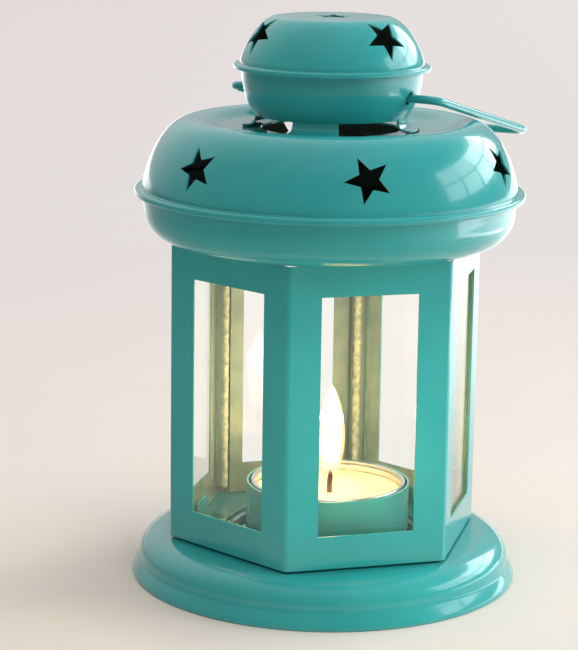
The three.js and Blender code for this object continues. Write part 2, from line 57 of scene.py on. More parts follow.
class Measured:
    """A CAD node's axis, radius, lowest and highest point, in millimetres."""

    def __init__(self, node):
        low, high = (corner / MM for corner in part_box(node))
        self.axis = Vector(((low.x + high.x) / 2, (low.y + high.y) / 2, 0))
        self.radius = (high.y - low.y) / 2
        self.bottom = low.z
        self.top = high.z


foot = Measured("base_pan")
holder = Measured("tealight_holder")
foil_cup = Measured("tealight_cup")
wax = Measured("tealight_wax")
wick = Measured("tealight_wick")
shell = Measured("body_shell")
plate = Measured("bottom_plate")
pane = Measured("glass_pane_1")
bead = Measured("corner_bead_1")
dish = Measured("roof_dish")
dome = Measured("roof_dome")
bowl = Measured("chimney_bowl")
cap = Measured("cap_dome")
bail = Measured("bail")

# Roundness
LARGE_STEPS = 160
SMALL_STEPS = 96
BOWL_STEPS = 144
CURVE_STEPS = 14
LONGEST_STEP = 1.6
SHARP_ANGLE = 38

# Sheet metal
SHEET = 0.5
EDGE_ROUNDING = 0.1
TAB_SINK = 0.2

# Foot
TONGUE_RISE = 3.25
TONGUE_WIDTH = 6
TONGUE_RADIUS = 24.55
TONGUE_CORNER = 1.2
TONGUES = (60, 180, 300)
FOOT_PLATE = foot.top - TONGUE_RISE
FOOT_PLATE_RADIUS = 40.6
FOOT_SHOULDER_RADIUS = 48.3
FOOT_SHOULDER_FOOT = 5.4
FOOT_KINK = 4.3
SKIRT_EDGE = 0.8
FOOT_HEM = 1.8
WELL_RADIUS = 23.4
WELL_DEPTH = 3.1
RIVET_HOLE_RADIUS = 1.7

# Candle
FOIL = 0.14
FOIL_CURL = 0.28
FOIL_LIP = 0.42
FOIL_LIP_DROP = 1.0
FOIL_STEP_RADIUS = 15
FOIL_STEP_RISE = 1.0
WAX_POOL = 20.8
WAX_POOL_RADIUS = 16
WAX_EDGE_RISE = 0.7
WAX_MENISCUS = 0.25
WAX_POCKET_RADIUS = 6.3
WICK_TUBE_RADIUS = 2
WICK_RADIUS = 0.75
WICK_LEAN = 0.8
WICK_STEPS = 32
WICK_TWIST = 13
STRAND_DEPTH = 0.12
FLAME_BASE = 24.6
FLAME_TOP = 49.6
FLAME_RADIUS = 2.75
FLAME_STEPS = 40
MANTLE = 0.7

# Body
CORNER_ROUNDING = 1.4
STILE = 8.4
SILL = 8.35
HEAD = 7.6
TAB_WIDTH = 10
TAB_RISE = 2.6
PLATE_HOLE_RADIUS = 25.1
PLATE_TAB_RISE = 4.5
PLATE_TAB_CORNER = 1.5
SEAT_GAP = 0.3
BODY_STRETCH = 0.9 * SEAT_GAP
GLASS = 2.0
PANE_WIDTH = 33.0
PANE_CHAMFER = 0.15
PANE_INNER_FACE = shell.radius - SHEET - SEAT_GAP - GLASS
BEAD_STEPS = 60
BEAD_NOSE = 1.3
BEAD_CRINKLE = 0.3

# Roof
DISH_FLOOR_RADIUS = 39.5
DISH_HOLE_RADIUS = 30.03
DISH_RADIUS = 47.4
DISH_BEND_RISE = 8.0
NECK_RADIUS = 47.9
SEAM_HEIGHT = dish.top - SHEET
SEAM_TOP = SEAM_HEIGHT + 1.15
DOME_CREST_RADIUS = 35.5
DOME_SIDE_LEAN = 1.1
DOME_HANDLE = 6.8
RECESS_DEPTH = 2.3
RECESS_RADIUS = 24.8
VENT_RADIUS = 17.8

# Chimney
BOWL_RIM_RADIUS = 23.0
BOWL_RIM = bowl.top - SHEET
BOWL_FOOT_RADIUS = 19.3
BOWL_BELLY = 1.6
LEG_COUNT = 4
LEG_ARC = 35
LEG_TURN = -119
LEG_FLANGE = 3.2
LEG_FLARE_OUT = 2.2
LEG_FLARE_RISE = 2.4
SLOT_HEIGHT = 3.0  # 0.9 less than the solid's, so that less light shows through
CAP_SIDE_RADIUS = 23.4
CAP_CREST_RADIUS = 14.2
CAP_SIDE_LEAN = 1.6
CAP_SIDE_HANDLE = 5.55
CAP_TOP_HANDLE = 3.4
CAP_FLANGE_TOP = bowl.top + 0.65

# Stars
STAR_RADIUS = 6.1
STAR_INNER = 2.6 / 6.1
STAR_PUNCH = 14
ROOF_STAR_TURNS = (-152.5, -95.4, -38.35, 23.1, 84.6, 146)
ROOF_STAR_HEIGHT = SEAM_HEIGHT + 10
ROOF_STAR_DISTANCE = NECK_RADIUS - 2
ROOF_STAR_TILT = 20
ROOF_STAR_ROLL = 4
CAP_STARS = ((-65.3, 13), (58, 0), (-175.4, 31))
CAP_STAR_HEIGHT = BOWL_RIM + 9.4
CAP_STAR_DISTANCE = CAP_SIDE_RADIUS - 3.2
CAP_STAR_TILT = 40
CAP_TOP_STAR_RADIUS = 5.4
CAP_TOP_STAR_TURN = 73

# Bail
WIRE_RADIUS = 1.05
BAIL_BENDS = (1.6, 3.2, 6, 6, 3.2, 1.6)
WIRE_HOLE_RADIUS = 1.65
BAIL_TURN = -45.7
BAIL_HALF_WIDTH = 29.8
BAIL_REACH = 58.7
BAIL_HOOK = 3.2
BAIL_END_RADIUS = 17.6
BAIL_PIVOT = BOWL_RIM - 6.2


# Lines of radius and height. A pressed piece's outer face lies on the left of its line.

def at(radius, height):
    return Vector((radius, height))


def bezier(points, steps=CURVE_STEPS):
    """The Bezier curve of its control points, as a list of points."""
    line = []
    for i in range(steps + 1):
        t = i / steps
        level = list(points)
        while len(level) > 1:
            level = [a.lerp(b, t) for a, b in zip(level, level[1:])]
        line.append(level[0])
    return line


def quarter_turn(start, end, steps=CURVE_STEPS):
    """A quarter of an ellipse that leaves its start along the radius."""
    angles = [math.pi / 2 * i / steps for i in range(steps + 1)]
    reach = end - start
    return [at(start.x + reach.x * math.sin(a), end.y - reach.y * math.cos(a)) for a in angles]


def fillet(before, corner, after, radius, steps=5):
    """The corner of a line as an arc."""
    back = (before - corner).normalized()
    on = (after - corner).normalized()
    half = back.angle(on) / 2
    reach = min(radius / math.tan(half), (before - corner).length / 2, (after - corner).length / 2)
    centre = corner + (back + on).normalized() * (reach / math.cos(half))
    start = corner + back * reach - centre
    end = corner + on * reach - centre
    first = math.atan2(start.y, start.x)
    sweep = (math.atan2(end.y, end.x) - first + math.pi) % (2 * math.pi) - math.pi
    angles = [first + sweep * i / steps for i in range(steps + 1)]
    return [centre + at(math.cos(a), math.sin(a)) * start.length for a in angles]


def rounded(points, radii):
    """A line whose inner corners are arcs. A radius of 0 leaves a corner as it is."""
    line = [points[0]]
    for before, corner, after, radius in zip(points, points[1:], points[2:], radii):
        line += fillet(before, corner, after, radius) if radius else [corner]
    return [*line, points[-1]]


def spaced(line):
    """The line with no step longer than the longest one allowed, and no double points."""
    made = [line[0]]
    for point in line[1:]:
        run = (point - made[-1]).length
        if run < 1e-4:
            continue
        start = made[-1]
        steps = max(1, math.ceil(run / LONGEST_STEP))
        made += [start.lerp(point, i / steps) for i in range(1, steps + 1)]
    return made


# Meshes

def shift(mesh, verts, way):
    bmesh.ops.translate(mesh, verts=verts, vec=way)


def face_outwards(mesh):
    bmesh.ops.recalc_face_normals(mesh, faces=mesh.faces)


def turned(line, steps=LARGE_STEPS, start=0.0):
    """A line turned once round the Z axis, with its faces looking to the line's left."""
    line = spaced(line)
    mesh = bmesh.new()
    verts = [mesh.verts.new((point.x, 0, point.y)) for point in line]
    edges = [mesh.edges.new(pair) for pair in zip(verts, verts[1:])]
    turn = Matrix.Rotation(math.radians(start), 3, "Z")
    bmesh.ops.rotate(mesh, verts=verts, cent=(0, 0, 0), matrix=turn)
    bmesh.ops.spin(
        mesh, geom=verts + edges, cent=(0, 0, 0), axis=(0, 0, 1),
        angle=2 * math.pi, steps=steps, use_merge=True,
    )
    bmesh.ops.remove_doubles(mesh, verts=mesh.verts, dist=1e-4)
    face_outwards(mesh)
    pairs = list(zip(line, line[1:]))
    longest = max(pairs, key=lambda pair: (pair[1] - pair[0]).length)
    middle = (longest[0] + longest[1]) / 2
    run = longest[1] - longest[0]
    left = at(-run.y, run.x)

    def misses(face):
        centre = face.calc_center_median()
        return (at(centre.xy.length, centre.z) - middle).length

    nearest = min(mesh.faces, key=misses)
    radial = nearest.calc_center_median().xy.normalized()
    normal = at(nearest.normal.xy.dot(radial), nearest.normal.z)
    if normal.dot(left) < 0:
        bmesh.ops.reverse_faces(mesh, faces=mesh.faces)
    return mesh


def block(mesh, width, depth, height, place):
    """Adds a box to the mesh, round its place."""
    size = Matrix.Diagonal((width, depth, height, 1))
    return bmesh.ops.create_cube(mesh, size=1, matrix=place @ size)["verts"]


def turn_about_axis(degrees):
    return Matrix.Rotation(math.radians(degrees), 4, "Z")


def standing(radius, height, degrees):
    """A place whose X axis looks out from the lantern's axis."""
    return turn_about_axis(degrees) @ Matrix.Translation((radius, 0, height))


def only(kind, parts):
    return [part for part in parts if isinstance(part, kind)]


def drill(radius, length, place):
    """A round cutter along the Z axis of its place."""
    mesh = bmesh.new()
    bmesh.ops.create_cone(
        mesh, cap_ends=True, segments=32, radius1=radius, radius2=radius,
        depth=length, matrix=place,
    )
    return mesh


def round_off(mesh, edges, width, segments):
    bmesh.ops.bevel(
        mesh, geom=edges, offset=width, affect="EDGES", segments=segments, profile=0.5, material=-1
    )


def round_tabs(mesh, low, width):
    """Rounds the upper corners of tabs that stand up past a height."""
    upper = [edge for edge in mesh.edges if all(vert.co.z > low for vert in edge.verts)]
    round_off(mesh, [edge for edge in upper if edge.calc_length() < 1], width, 4)


def split(mesh, point, normal):
    parts = mesh.verts[:] + mesh.edges[:] + mesh.faces[:]
    bmesh.ops.bisect_plane(mesh, geom=parts, dist=1e-5, plane_co=point, plane_no=normal)


def in_scene(name, data):
    """An object of some data, at the origin."""
    made = bpy.data.objects.new(name, data)
    bpy.context.scene.collection.objects.link(made)
    return made


def object_of(mesh, name, finishes, axis):
    """A bmesh in millimetres as an object in metres, standing on an axis."""
    shift(mesh, mesh.verts, axis)
    bmesh.ops.scale(mesh, verts=mesh.verts, vec=(MM, MM, MM))
    data = bpy.data.meshes.new(name)
    mesh.to_mesh(data)
    mesh.free()
    for finish in finishes:
        data.materials.append(finish)
    return in_scene(name, data)


def settle(piece):
    """Applies a piece's modifiers to its mesh."""
    graph = bpy.context.evaluated_depsgraph_get()
    data = bpy.data.meshes.new_from_object(piece.evaluated_get(graph))
    data.name = piece.name
    piece.modifiers.clear()
    piece.data = data


def thicken(piece, thickness=SHEET):
    """Gives a surface the sheet's thickness on its inner side, which takes the second finish."""
    solid = piece.modifiers.new("thickness", "SOLIDIFY")
    solid.thickness = thickness * MM
    solid.offset = -1
    solid.use_even_offset = True
    solid.material_offset = min(1, len(piece.data.materials) - 1)
    settle(piece)


def spun_sheet(line, name, finishes, axis, steps=LARGE_STEPS, thickness=SHEET):
    """A line turned round an axis as a sheet, whose outer face lies on the line."""
    piece = object_of(turned(line, steps), name, finishes, axis)
    thicken(piece, thickness)
    return piece


def soften_edges(piece, width=EDGE_ROUNDING):
    """Rounds the edges of a flat-sided piece a little, and keeps its flats flat."""
    smooth(piece)
    bevel = piece.modifiers.new("edges", "BEVEL")
    bevel.width = width * MM
    bevel.segments = 2
    bevel.limit_method = "ANGLE"
    flats = piece.modifiers.new("flats", "WEIGHTED_NORMAL")
    flats.keep_sharp = False
    settle(piece)


def cut(piece, cutters, axis):
    """Cuts the shapes of a bmesh out of a piece."""
    tool = object_of(cutters, "cutter", [], axis)
    boolean = piece.modifiers.new("cut", "BOOLEAN")
    boolean.operation = "DIFFERENCE"
    boolean.solver = "EXACT"
    boolean.object = tool
    settle(piece)
    bpy.data.objects.remove(tool)


def smooth(piece):
    piece.data.polygons.foreach_set("use_smooth", [True] * len(piece.data.polygons))


def smooth_curves(piece):
    """Shades a piece smooth, and keeps the edges of its cuts and folds sharp."""
    smooth(piece)
    piece.data.set_sharp_from_angle(angle=math.radians(SHARP_ANGLE))


def ride(piece, body, nodes):
    """Puts a piece on its body, in place of the nodes that it stands for."""
    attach(piece, body)
    if nodes:
        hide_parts(*nodes)


# Finishes

class Finish:
    """A material whose patterns follow the object's own coordinates, in metres."""

    def __init__(self, name):
        self.material = bpy.data.materials.new(name)
        self.material.use_nodes = True
        self.tree = self.material.node_tree
        self.surface = self.tree.nodes["Principled BSDF"]
        self.output = self.tree.nodes["Material Output"]
        self.place = self.node("ShaderNodeTexCoord").outputs["Object"]

    def node(self, kind, **settings):
        made = self.tree.nodes.new(kind)
        for key, value in settings.items():
            setattr(made, key, value)
        return made

    def join(self, source, target):
        self.tree.links.new(source, target)

    def set(self, **sockets):
        for key, value in sockets.items():
            self.surface.inputs[key.replace("_", " ")].default_value = value

    def noise(self, size, detail=2.0, stretch=(1, 1, 1)):
        """A cloudy pattern from 0 to 1, whose clouds have a size in millimetres."""
        mapping = self.node("ShaderNodeMapping")
        mapping.inputs["Scale"].default_value = stretch
        made = self.node("ShaderNodeTexNoise")
        made.inputs["Scale"].default_value = 1 / (size * MM)
        made.inputs["Detail"].default_value = detail
        self.join(self.place, mapping.inputs["Vector"])
        self.join(mapping.outputs["Vector"], made.inputs["Vector"])
        return made.outputs["Fac"]

    def height(self, low, high):
        """0 at one height in millimetres and 1 at another."""
        parts = self.node("ShaderNodeSeparateXYZ")
        self.join(self.place, parts.inputs["Vector"])
        return self.spread(parts.outputs["Z"], low * MM, high * MM, 0, 1)

    def distance(self, axis, low, high):
        """0 at one distance in millimetres from an upright axis and 1 at another."""
        flat = self.vector("MULTIPLY", self.vector("SUBTRACT", self.place, axis * MM), (1, 1, 0))
        return self.spread(self.vector("LENGTH", flat), low * MM, high * MM, 0, 1)

    def spread(self, value, from_low, from_high, to_low, to_high):
        made = self.node("ShaderNodeMapRange")
        numbers = (from_low, from_high, to_low, to_high)
        for name, number in zip(("From Min", "From Max", "To Min", "To Max"), numbers):
            made.inputs[name].default_value = number
        self.join(value, made.inputs["Value"])
        return made.outputs["Result"]

    def colours(self, factor, stops):
        """A colour that runs through stops of (place, red, green, blue)."""
        ramp = self.node("ShaderNodeValToRGB")
        elements = ramp.color_ramp.elements
        while len(elements) < len(stops):
            elements.new(0.5)
        for element, (place, *colour) in zip(elements, stops):
            element.position = place
            element.color = (*colour, 1)
        self.join(factor, ramp.inputs["Fac"])
        return ramp.outputs["Color"]

    def paint(self, factor, stops):
        self.join(self.colours(factor, stops), self.surface.inputs["Base Color"])

    def roughen(self, factor, from_low, from_high, smooth, rough):
        spread = self.spread(factor, from_low, from_high, smooth, rough)
        self.join(spread, self.surface.inputs["Roughness"])

    def vector(self, operation, first, second=(0, 0, 0)):
        """Vector maths on what one socket gives and a fixed vector."""
        made = self.node("ShaderNodeVectorMath", operation=operation)
        self.join(first, made.inputs[0])
        made.inputs[1].default_value = second
        return made.outputs["Value" if operation in ("LENGTH", "DOT_PRODUCT") else "Vector"]

    def maths(self, operation, first, second):
        made = self.node("ShaderNodeMath", operation=operation, use_clamp=True)
        self.join(first, made.inputs[0])
        self.join(second, made.inputs[1])
        return made.outputs["Value"]

    def mixed(self, factor, first, second):
        """One shader where the factor is 0 and another where it is 1."""
        mix = self.node("ShaderNodeMixShader")
        for source, target in zip((factor, first, second), mix.inputs):
            self.join(source, target)
        return mix.outputs["Shader"]

    def bump(self, height, depth, below=None):
        """Relief of a depth in millimetres, over the relief below it."""
        made = self.node("ShaderNodeBump")
        made.inputs["Distance"].default_value = depth * MM
        made.inputs["Strength"].default_value = 1
        self.join(height, made.inputs["Height"])
        if below:
            self.join(below, made.inputs["Normal"])
        self.join(made.outputs["Normal"], self.surface.inputs["Normal"])
        return made.outputs["Normal"]


def gloss_enamel():
    """Sprayed and baked turquoise, with a faint orange peel under its gloss."""
    finish = Finish("turquoise_gloss_enamel")
    tone = finish.noise(24, detail=3)
    finish.paint(tone, [(0.3, 0.025, 0.335, 0.335), (0.7, 0.036, 0.380, 0.375)])
    finish.roughen(finish.noise(3), 0.3, 0.7, 0.16, 0.24)
    finish.set(Coat_Weight=0.6, Coat_Roughness=0.05, IOR=1.5)
    waves = finish.bump(finish.noise(14, detail=1), 0.07)
    finish.bump(finish.noise(1.3), 0.012, waves)
    return finish.material


def thin_enamel():
    """The thin, matter coat that reached the inside of the sheet."""
    finish = Finish("thin_inner_enamel")
    finish.paint(finish.noise(5, detail=5), [(0.35, 0.17, 0.25, 0.19), (0.65, 0.27, 0.35, 0.26)])
    finish.roughen(finish.noise(2), 0.3, 0.7, 0.35, 0.5)
    finish.bump(finish.noise(0.8), 0.02)
    return finish.material


def painted_shade_enamel():
    """Near-black enamel inside the roof and the chimney: painted shade, which keeps the stars and
    air slots dark.
    """
    finish = Finish("painted_shade_enamel")
    cloud = finish.noise(9, detail=4)
    # Painted shade: near-black teal in soft clouds.
    finish.paint(cloud, [(0.3, 0.003, 0.014, 0.017), (0.7, 0.006, 0.030, 0.032)])
    finish.roughen(cloud, 0.3, 0.7, 0.5, 0.75)
    finish.bump(finish.noise(0.6), 0.02)
    return finish.material


def lamps_pass(finish):
    """Lets lamps shine through a clear finish, as they do through a real pane."""
    path = finish.node("ShaderNodeLightPath")
    clear = finish.node("ShaderNodeBsdfTransparent")
    clear.inputs["Color"].default_value = (0.84, 0.76, 0.64, 1)
    shadow = path.outputs["Is Shadow Ray"]
    made = finish.mixed(shadow, finish.surface.outputs["BSDF"], clear.outputs["BSDF"])
    finish.join(made, finish.output.inputs["Surface"])


def window_glass():
    """Drawn window glass, with a trace of waviness, a film of handling and a faint painted warm
    glow.
    """
    finish = Finish("window_glass")
    finish.set(Transmission_Weight=1, IOR=1.45)
    film = finish.noise(18, detail=4)
    finish.paint(film, [(0.3, 0.97, 0.985, 0.955), (0.7, 0.99, 0.995, 0.975)])
    finish.roughen(film, 0.4, 0.8, 0.0, 0.03)
    # Painted glow: a faint warm emission over the whole pane.
    finish.set(Emission_Color=(1.0, 0.97, 0.80, 1), Emission_Strength=0.006)
    finish.bump(finish.noise(22, detail=0), 0.01)
    lamps_pass(finish)
    return finish.material


def cut_glass_edge():
    """The ground edge of a pane, green with the depth of the glass behind it."""
    finish = Finish("cut_glass_edge")
    finish.paint(finish.noise(4), [(0.3, 0.10, 0.24, 0.17), (0.7, 0.22, 0.40, 0.30)])
    finish.set(Roughness=0.35, IOR=1.45)
    finish.bump(finish.noise(0.5), 0.03)
    return finish.material


def sealant(root, nose):
    """Clear sealant run into a corner, crinkled: painted flame light makes its nose pale yellow
    and painted shade makes its flanks dark.
    """
    finish = Finish("crinkled_sealant")
    lumps = finish.spread(finish.noise(1.6, detail=3), 0.3, 0.7, 0.25, 1.0)
    # Painted light and shade: pale yellow towards the nose, dark towards the flanks, mottled by
    # the lumps.
    glow_share = finish.maths("MULTIPLY", finish.distance(shell.axis, root, nose), lumps)
    finish.paint(glow_share, [(0.1, 0.20, 0.27, 0.20), (0.8, 0.92, 0.86, 0.52)])
    finish.set(Roughness=0.24, Transmission_Weight=0.15, IOR=1.42)
    finish.bump(finish.noise(0.9, detail=3), 0.12)
    return finish.material


def drawn_foil():
    """The thin drawn aluminium of the tealight's cup."""
    finish = Finish("drawn_foil")
    rings = finish.noise(1.2, stretch=(0.08, 0.08, 2))
    finish.paint(rings, [(0.3, 0.66, 0.67, 0.68), (0.7, 0.86, 0.86, 0.86)])
    finish.roughen(rings, 0.3, 0.7, 0.24, 0.4)
    finish.set(Metallic=1)
    dents = finish.bump(finish.noise(5), 0.12)
    finish.bump(rings, 0.03, dents)
    return finish.material


def plain_metal():
    """The dull steel of the rivet and of the wick's foot."""
    finish = Finish("dull_steel")
    grain = finish.noise(0.7, detail=4)
    finish.paint(grain, [(0.3, 0.36, 0.36, 0.36), (0.7, 0.60, 0.59, 0.57)])
    finish.roughen(grain, 0.3, 0.7, 0.3, 0.5)
    finish.set(Metallic=1)
    finish.bump(grain, 0.02)
    return finish.material


def candle_wax():
    """Paraffin wax round a lit wick: wet in its pool, matt at its edge, with a painted warm glow
    all over it.
    """
    finish = Finish("paraffin_wax")
    finish.paint(finish.noise(3.5), [(0.3, 0.88, 0.74, 0.40), (0.7, 0.92, 0.82, 0.50)])
    finish.roughen(finish.noise(6), 0.35, 0.65, 0.06, 0.22)
    finish.set(Subsurface_Weight=0.7, Subsurface_Scale=5 * MM, Subsurface_Radius=(1.0, 0.7, 0.35))
    # Painted glow: a warm emission all over the wax, besides the flame's real light.
    finish.set(IOR=1.43, Emission_Color=(1.0, 0.80, 0.36, 1), Emission_Strength=0.22)
    finish.bump(finish.noise(2.5), 0.03)
    return finish.material


def charred_wick():
    """Cotton braid: waxed and tan at its foot, charred above, with an ember at its tip."""
    finish = Finish("charred_wick")
    up = finish.height(WAX_POOL, wick.top)
    waxed, brown = (0.0, 0.30, 0.16, 0.07), (0.35, 0.13, 0.05, 0.025)
    black, tip = (0.8, 0.03, 0.012, 0.008), (1.0, 0.10, 0.02, 0.008)
    finish.paint(up, [waxed, brown, black, tip])
    glow = finish.colours(up, [(0.8, 0.0, 0.0, 0.0), (1.0, 1.0, 0.18, 0.02)])
    finish.join(glow, finish.surface.inputs["Emission Color"])
    finish.set(Roughness=0.9, Emission_Strength=1.2)
    finish.bump(finish.noise(0.4), 0.06)
    return finish.material


def flame_gas(name, strength, opacity, stops):
    """Glowing gas, whose colour and brightness follow its height."""
    finish = Finish(name)
    up = finish.height(FLAME_BASE, FLAME_TOP)
    glow = finish.node("ShaderNodeEmission")
    glow.inputs["Strength"].default_value = strength
    finish.join(finish.colours(up, stops), glow.inputs["Color"])
    clear = finish.node("ShaderNodeBsdfTransparent")
    glow_share = finish.colours(up, [(0.08, 0.0, 0.0, 0.0), (0.34, opacity, opacity, opacity)])
    made = finish.mixed(glow_share, clear.outputs["BSDF"], glow.outputs["Emission"])
    finish.join(made, finish.output.inputs["Surface"])
    return finish.material


enamel = gloss_enamel()
inner_enamel = thin_enamel()
# Painted shade for the inner faces of the roof dish, dome, chimney collar and cap.
roof_inside_shade = painted_shade_enamel()
glass = window_glass()
glass_edge = cut_glass_edge()
steel = plain_metal()


# Foot and candle

def pressed_foot():
    """The pressed foot: a round well, a flat plate, a full shoulder and a flared skirt."""
    floor = FOOT_PLATE - WELL_DEPTH
    plate_edge = at(FOOT_PLATE_RADIUS, FOOT_PLATE)
    well = [at(0, floor), at(WELL_RADIUS, floor), at(WELL_RADIUS, FOOT_PLATE), plate_edge]
    shoulder = quarter_turn(plate_edge, at(FOOT_SHOULDER_RADIUS, FOOT_SHOULDER_FOOT))
    kink = at(FOOT_SHOULDER_RADIUS, FOOT_KINK)
    handle = at(FOOT_SHOULDER_RADIUS + 1.2, SKIRT_EDGE + 1.6)
    flare = bezier([kink, handle, at(foot.radius, SKIRT_EDGE)], 6)
    hem = rounded([flare[-1], at(foot.radius, 0), at(foot.radius - FOOT_HEM, 0)], [0.4])
    line = [*rounded(well, [0.5, 0.6]), *shoulder, *flare, *hem]
    piece = spun_sheet(line, "pressed_foot", [enamel, inner_enamel], foot.axis)
    place = Matrix.Translation(holder.axis - foot.axis + Vector((0, 0, floor)))
    cut(piece, drill(RIVET_HOLE_RADIUS, 4, place), foot.axis)
    smooth_curves(piece)
    ride(piece, "foot", ["base_pan"])


def spring_tongues():
    """The tongues pressed up out of the foot, which centre the housing."""
    for number, degrees in enumerate(TONGUES, 1):
        mesh = bmesh.new()
        place = standing(TONGUE_RADIUS, FOOT_PLATE - TAB_SINK + TONGUE_RISE / 2, degrees)
        block(mesh, SHEET, TONGUE_WIDTH, TONGUE_RISE, place)
        round_tabs(mesh, FOOT_PLATE + TONGUE_RISE / 2, TONGUE_CORNER)
        piece = object_of(mesh, f"spring_tongue_{number}", [enamel], foot.axis)
        soften_edges(piece)
        ride(piece, "foot", [])


def holder_cup():
    """The painted cup that holds the tealight."""
    radius = holder.radius
    corner, hole = at(radius, holder.bottom), at(RIVET_HOLE_RADIUS, holder.bottom)
    line = rounded([at(radius, holder.top), corner, hole], [1.2])
    piece = spun_sheet(line, "holder_cup", [enamel, enamel], holder.axis, SMALL_STEPS)
    smooth_curves(piece)
    ride(piece, "foot", ["tealight_holder"])


def tealight_foil():
    """The tealight's foil cup, with a curled rim."""
    radius = foil_cup.radius
    curl = radius - 2 * FOIL_CURL
    lip = radius + FOIL_LIP
    step = FOIL_STEP_RADIUS
    line = rounded(
        [
            at(curl, foil_cup.top - 0.5),
            at(curl, foil_cup.top),
            at(lip, foil_cup.top),
            at(lip, foil_cup.top - FOIL_LIP_DROP),
            at(radius, foil_cup.top - FOIL_LIP_DROP - 0.4),
            at(radius, foil_cup.bottom),
            at(step + 0.5, foil_cup.bottom),
            at(step, foil_cup.bottom + FOIL_STEP_RISE),
            at(0, foil_cup.bottom + FOIL_STEP_RISE),
        ],
        [FOIL_CURL * 0.95, FOIL_CURL * 0.95, 0.15, 0.15, 0.8, 0.3, 0.3],
    )
    finish = drawn_foil()
    piece = spun_sheet(line, "foil_cup", [finish, finish], foil_cup.axis, SMALL_STEPS, FOIL)
    smooth_curves(piece)
    ride(piece, "tealight", ["tealight_cup"])


def melted_wax():
    """The wax, with its melt pool, the rim left standing round it, and a bore for the wick."""
    radius = wax.radius
    bore = WICK_RADIUS + 0.1
    edge = WAX_POOL + WAX_EDGE_RISE
    pocket_top = wick.bottom + 0.6
    tube_top = wick.bottom + 3.3
    line = rounded(
        [
            at(bore, tube_top),
            at(bore, WAX_POOL + WAX_MENISCUS),
            at(bore + 1.6, WAX_POOL),
            at(WAX_POOL_RADIUS, WAX_POOL),
            at(radius - 0.5, edge),
            at(radius, edge + WAX_MENISCUS),
            at(radius, wax.bottom),
            at(WAX_POCKET_RADIUS, wax.bottom),
            at(WAX_POCKET_RADIUS, pocket_top),
            at(WICK_TUBE_RADIUS, pocket_top),
            at(WICK_TUBE_RADIUS, tube_top),
            at(bore, tube_top),
        ],
        [0.1, 1.2, 1.5, 0.4, 0.1, 0.8, 0, 0, 0, 0],
    )
    piece = object_of(turned(line, SMALL_STEPS), "melted_wax", [candle_wax()], wax.axis)
    smooth_curves(piece)
    ride(piece, "tealight", ["tealight_wax"])


def wick_lean(share):
    """How far the wick leans at a share of its length: it bends only near its top."""
    return WICK_LEAN * (max(0, share - 0.55) / 0.45) ** 1.4


def braided_wick():
    """A twisted wick that leans towards the front, drawn in at its burnt tip."""
    mesh = bmesh.new()
    bmesh.ops.create_circle(mesh, cap_ends=True, segments=18, radius=WICK_RADIUS)
    for number, vert in enumerate(mesh.verts):
        lobe = 1 - STRAND_DEPTH * (number % 6 in (2, 3, 4))
        vert.co.x *= lobe
        vert.co.y *= lobe
    shift(mesh, mesh.verts, (0, 0, wick.bottom))
    rise = (wick.top - wick.bottom) / WICK_STEPS
    twist = Matrix.Rotation(math.radians(WICK_TWIST), 3, "Z")
    face = mesh.faces[:]
    for step in range(WICK_STEPS):
        share = (step + 1) / WICK_STEPS
        made = bmesh.ops.extrude_face_region(mesh, geom=face)["geom"]
        verts = only(BMVert, made)
        lean = wick_lean(share) - wick_lean(step / WICK_STEPS)
        shift(mesh, verts, (0, -lean, rise))
        centre = sum((vert.co for vert in verts), Vector()) / len(verts)
        bmesh.ops.rotate(mesh, verts=verts, cent=centre, matrix=twist)
        if share > 0.9:
            about = Matrix.Translation(-centre)
            bmesh.ops.scale(mesh, verts=verts, vec=(0.82, 0.82, 1), space=about)
        old = face
        face = only(BMFace, made)
        if step:
            bmesh.ops.delete(mesh, geom=[f for f in old if f.is_valid], context="FACES_ONLY")
    face_outwards(mesh)
    piece = object_of(mesh, "braided_wick", [charred_wick()], holder.axis)
    smooth_curves(piece)
    ride(piece, "tealight", ["tealight_wick"])


def flame_shell(name, finish, grow):
    """One shell of the flame: full below its middle and drawn out to a point."""
    base = FLAME_BASE - 0.4 * grow
    top = FLAME_TOP + 0.9 * grow
    widest = 0.4015
    line = []
    for i in range(FLAME_STEPS, -1, -1):
        t = i / FLAME_STEPS
        radius = (FLAME_RADIUS + grow) * t ** 0.55 * (1 - t) ** 0.8 / widest
        line.append(at(radius, base + (top - base) * t))
    mesh = turned(line, 48)
    for vert in mesh.verts:
        share = (vert.co.z - base) / (top - base)
        vert.co.y -= WICK_LEAN * min(1, 2 * share)
        vert.co.x += 0.35 * math.sin(3 * share) * share
    piece = object_of(mesh, name, [finish], holder.axis)
    smooth(piece)
    piece.visible_shadow = False
    ride(piece, "tealight", [])


def flame():
    """The flame: blue at its foot, then orange, then a pale yellow core, with a faint mantle."""
    blue, orange = (0.0, 0.10, 0.16, 0.9), (0.14, 1.0, 0.45, 0.10)
    yellow, pale = (0.4, 1.0, 0.80, 0.42), (1.0, 1.0, 0.86, 0.55)
    core = [blue, orange, yellow, pale]
    mantle = [(0.0, 0.10, 0.18, 0.9), (0.2, 1.0, 0.55, 0.15), (1.0, 1.0, 0.78, 0.35)]
    flame_shell("flame_core", flame_gas("flame_core_gas", 9.0, 0.95, core), 0.0)
    flame_shell("flame_mantle", flame_gas("flame_mantle_gas", 3.0, 0.35, mantle), MANTLE)


# Housing

